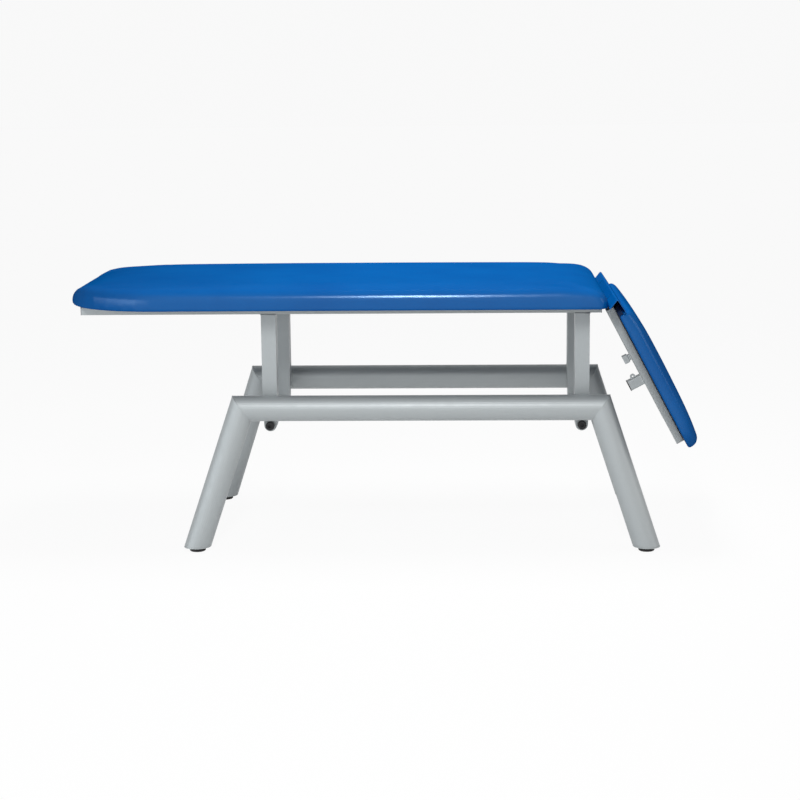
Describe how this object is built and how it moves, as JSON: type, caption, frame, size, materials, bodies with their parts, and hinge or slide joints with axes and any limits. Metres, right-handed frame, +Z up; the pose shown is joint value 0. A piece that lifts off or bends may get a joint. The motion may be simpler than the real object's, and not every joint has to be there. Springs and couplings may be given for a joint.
{
  "type": "fixed-height treatment table",
  "caption": "Fixed-height treatment table: blue padded main section and a hinged head section, shown dropped, on a splayed silver round-tube base.",
  "frame": {"origin": "on the floor, under the middle of the bounding box at rest", "axes": "+X from the foot end to the head end, +Y across the table away from the side with the underside fittings, +Z up"},
  "size_m": [1.726, 0.6836, 0.7262],
  "materials": {
    "silver_powder_coat": "satin",
    "zinc_plated_steel": "satin",
    "black_steel": "satin",
    "grey_plastic": "matte",
    "black_plastic": "matte",
    "black_rubber": "matte",
    "blue_vinyl": "semi-gloss",
    "black_lined_board": "matte"
  },
  "bodies": {
    "table": {"side_rail_near": "silver_powder_coat", "main_rail_near": "silver_powder_coat", "hinge_lug_near": "black_steel", "hinge_pin_near": "zinc_plated_steel", "hinge_clip_near": "zinc_plated_steel", "hinge_washer_near": "zinc_plated_steel", "side_rail_far": "silver_powder_coat", "main_rail_far": "silver_powder_coat", "hinge_lug_far": "black_steel", "hinge_pin_far": "zinc_plated_steel", "hinge_clip_far": "zinc_plated_steel", "hinge_washer_far": "zinc_plated_steel", "leg_foot_near": "silver_powder_coat", "foot_plate_foot_near": "silver_powder_coat", "rubber_foot_foot_near": "black_rubber", "post_foot_near": "silver_powder_coat", "post_screw_foot_near": "black_steel", "main_rail_plug_foot_near": "grey_plastic", "leg_foot_far": "silver_powder_coat", "foot_plate_foot_far": "silver_powder_coat", "rubber_foot_foot_far": "black_rubber", "post_foot_far": "silver_powder_coat", "post_screw_foot_far": "black_steel", "main_rail_plug_foot_far": "grey_plastic", "leg_head_near": "silver_powder_coat", "foot_plate_head_near": "silver_powder_coat", "rubber_foot_head_near": "black_rubber", "post_head_near": "silver_powder_coat", "post_screw_head_near": "black_steel", "main_rail_plug_head_near": "grey_plastic", "leg_head_far": "silver_powder_coat", "foot_plate_head_far": "silver_powder_coat", "rubber_foot_head_far": "black_rubber", "post_head_far": "silver_powder_coat", "post_screw_head_far": "black_steel", "main_rail_plug_head_far": "grey_plastic", "tie_tube_foot": "silver_powder_coat", "tie_tube_head": "silver_powder_coat", "main_cross_foot": "silver_powder_coat", "main_cross_middle": "silver_powder_coat", "main_cross_head": "silver_powder_coat", "main_board": "black_lined_board", "main_cushion": "blue_vinyl"},
    "head_section": {"head_rail_near": "silver_powder_coat", "hinge_arm_near": "black_steel", "head_rail_plug_near": "grey_plastic", "head_rail_far": "silver_powder_coat", "hinge_arm_far": "black_steel", "head_rail_plug_far": "grey_plastic", "head_cross_inner": "silver_powder_coat", "head_cross_outer": "silver_powder_coat", "head_board": "black_lined_board", "head_cushion": "blue_vinyl", "gap_strip": "blue_vinyl", "underside_bar": "silver_powder_coat", "guide_block": "silver_powder_coat", "stub_tube": "silver_powder_coat", "stub_cap": "black_plastic"}
  },
  "joints": [
    {"name": "head_hinge", "type": "hinge", "parent": "table", "child": "head_section", "pos_m": [0.62816, 0, 0.6725], "axis": [0, -1, 0], "range_deg": [0, 62]}
  ]
}
